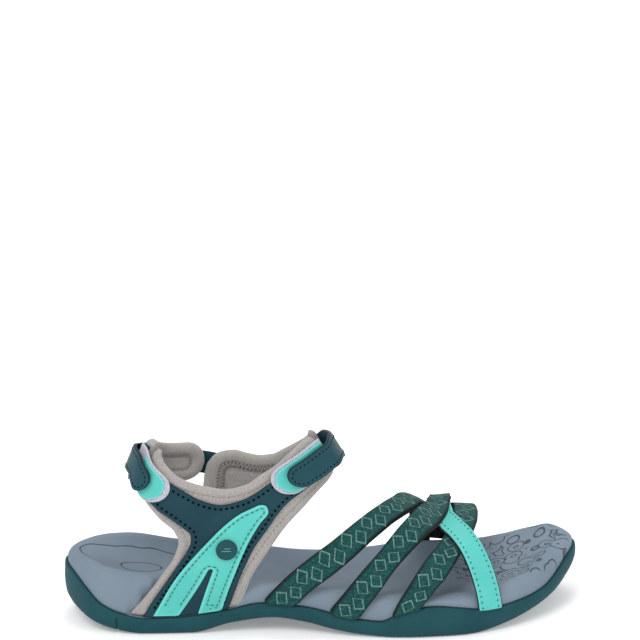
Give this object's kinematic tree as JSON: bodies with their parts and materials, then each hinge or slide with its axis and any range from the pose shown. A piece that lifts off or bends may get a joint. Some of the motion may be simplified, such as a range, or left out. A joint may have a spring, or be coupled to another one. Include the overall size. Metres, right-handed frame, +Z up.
{
  "type": "strappy sport sandal",
  "caption": "Right-foot women's sport sandal: rubber outsole, foam footbed, padded ankle quarters, hook-and-loop heel and instep straps, crossing webbing straps over the forefoot",
  "frame": {"origin": "bottom centre of the bounding box, on the ground under the middle of the sole", "axes": "+X along the sole to the toe, +Y to the inner side of the foot, +Z up"},
  "size_m": [0.2536, 0.0966, 0.098],
  "materials": {
    "outsole_rubber": "matt moulded rubber",
    "footbed_foam": "matt embossed foam",
    "shank_plastic": "moulded",
    "lining_fabric": "heathered padded knit",
    "teal_pu": "matt coated synthetic leather",
    "turquoise_pu": "matt coated synthetic leather",
    "badge_plastic": "moulded",
    "loop_fabric": "brushed loop fabric",
    "hook_fabric": "woven hook tape",
    "strap_pu": "matt coated synthetic leather",
    "webbing": "woven patterned webbing",
    "black_lining": "woven"
  },
  "bodies": {
    "sandal": {"outsole": "outsole_rubber", "footbed": "footbed_foam", "arch_shank": "shank_plastic", "lateral_quarter_lining": "lining_fabric", "lateral_quarter_cover": "teal_pu", "lateral_fork_overlay": "turquoise_pu", "lateral_badge": "badge_plastic", "medial_quarter_lining": "lining_fabric", "medial_quarter_cover": "teal_pu", "heel_pad": "lining_fabric", "heel_pad_cover": "teal_pu", "heel_landing_base": "loop_fabric", "heel_landing_patch": "turquoise_pu", "heel_strap_base": "strap_pu", "instep_landing_base": "loop_fabric", "instep_landing_patch": "turquoise_pu", "instep_strap_base": "strap_pu", "webbing_strap_rear": "webbing", "webbing_lining_rear": "black_lining", "webbing_strap_middle": "webbing", "webbing_lining_middle": "black_lining", "webbing_strap_front": "webbing", "webbing_lining_front": "black_lining", "forefoot_strap": "turquoise_pu", "forefoot_strap_lining": "black_lining"},
    "heel_strap": {"heel_strap_middle": "strap_pu"},
    "heel_tab": {"heel_strap_tab": "strap_pu", "heel_hook_patch": "hook_fabric"},
    "instep_strap": {"instep_strap_middle": "strap_pu"},
    "instep_tab": {"instep_strap_tab": "strap_pu", "instep_hook_patch": "hook_fabric"}
  },
  "joints": [
    {"name": "heel_strap_open", "type": "hinge", "parent": "sandal", "child": "heel_strap", "pos_m": [-0.04714, 0.03825, 0.06159], "axis": [0, 0, -1], "range_deg": [0, 70]},
    {"name": "heel_tab_peel", "type": "hinge", "parent": "heel_strap", "child": "heel_tab", "pos_m": [-0.09247, 0.00395, 0.07955], "axis": [-0.3725, 0, -0.928], "range_deg": [0, 80]},
    {"name": "instep_strap_open", "type": "hinge", "parent": "sandal", "child": "instep_strap", "pos_m": [0.0035, 0.02967, 0.07444], "axis": [-0.457, 0, 0.8895], "range_deg": [0, 100]},
    {"name": "instep_tab_peel", "type": "hinge", "parent": "instep_strap", "child": "instep_tab", "pos_m": [0.00701, -0.01495, 0.08882], "axis": [-0.513, 0, 0.8584], "range_deg": [0, 90]}
  ]
}
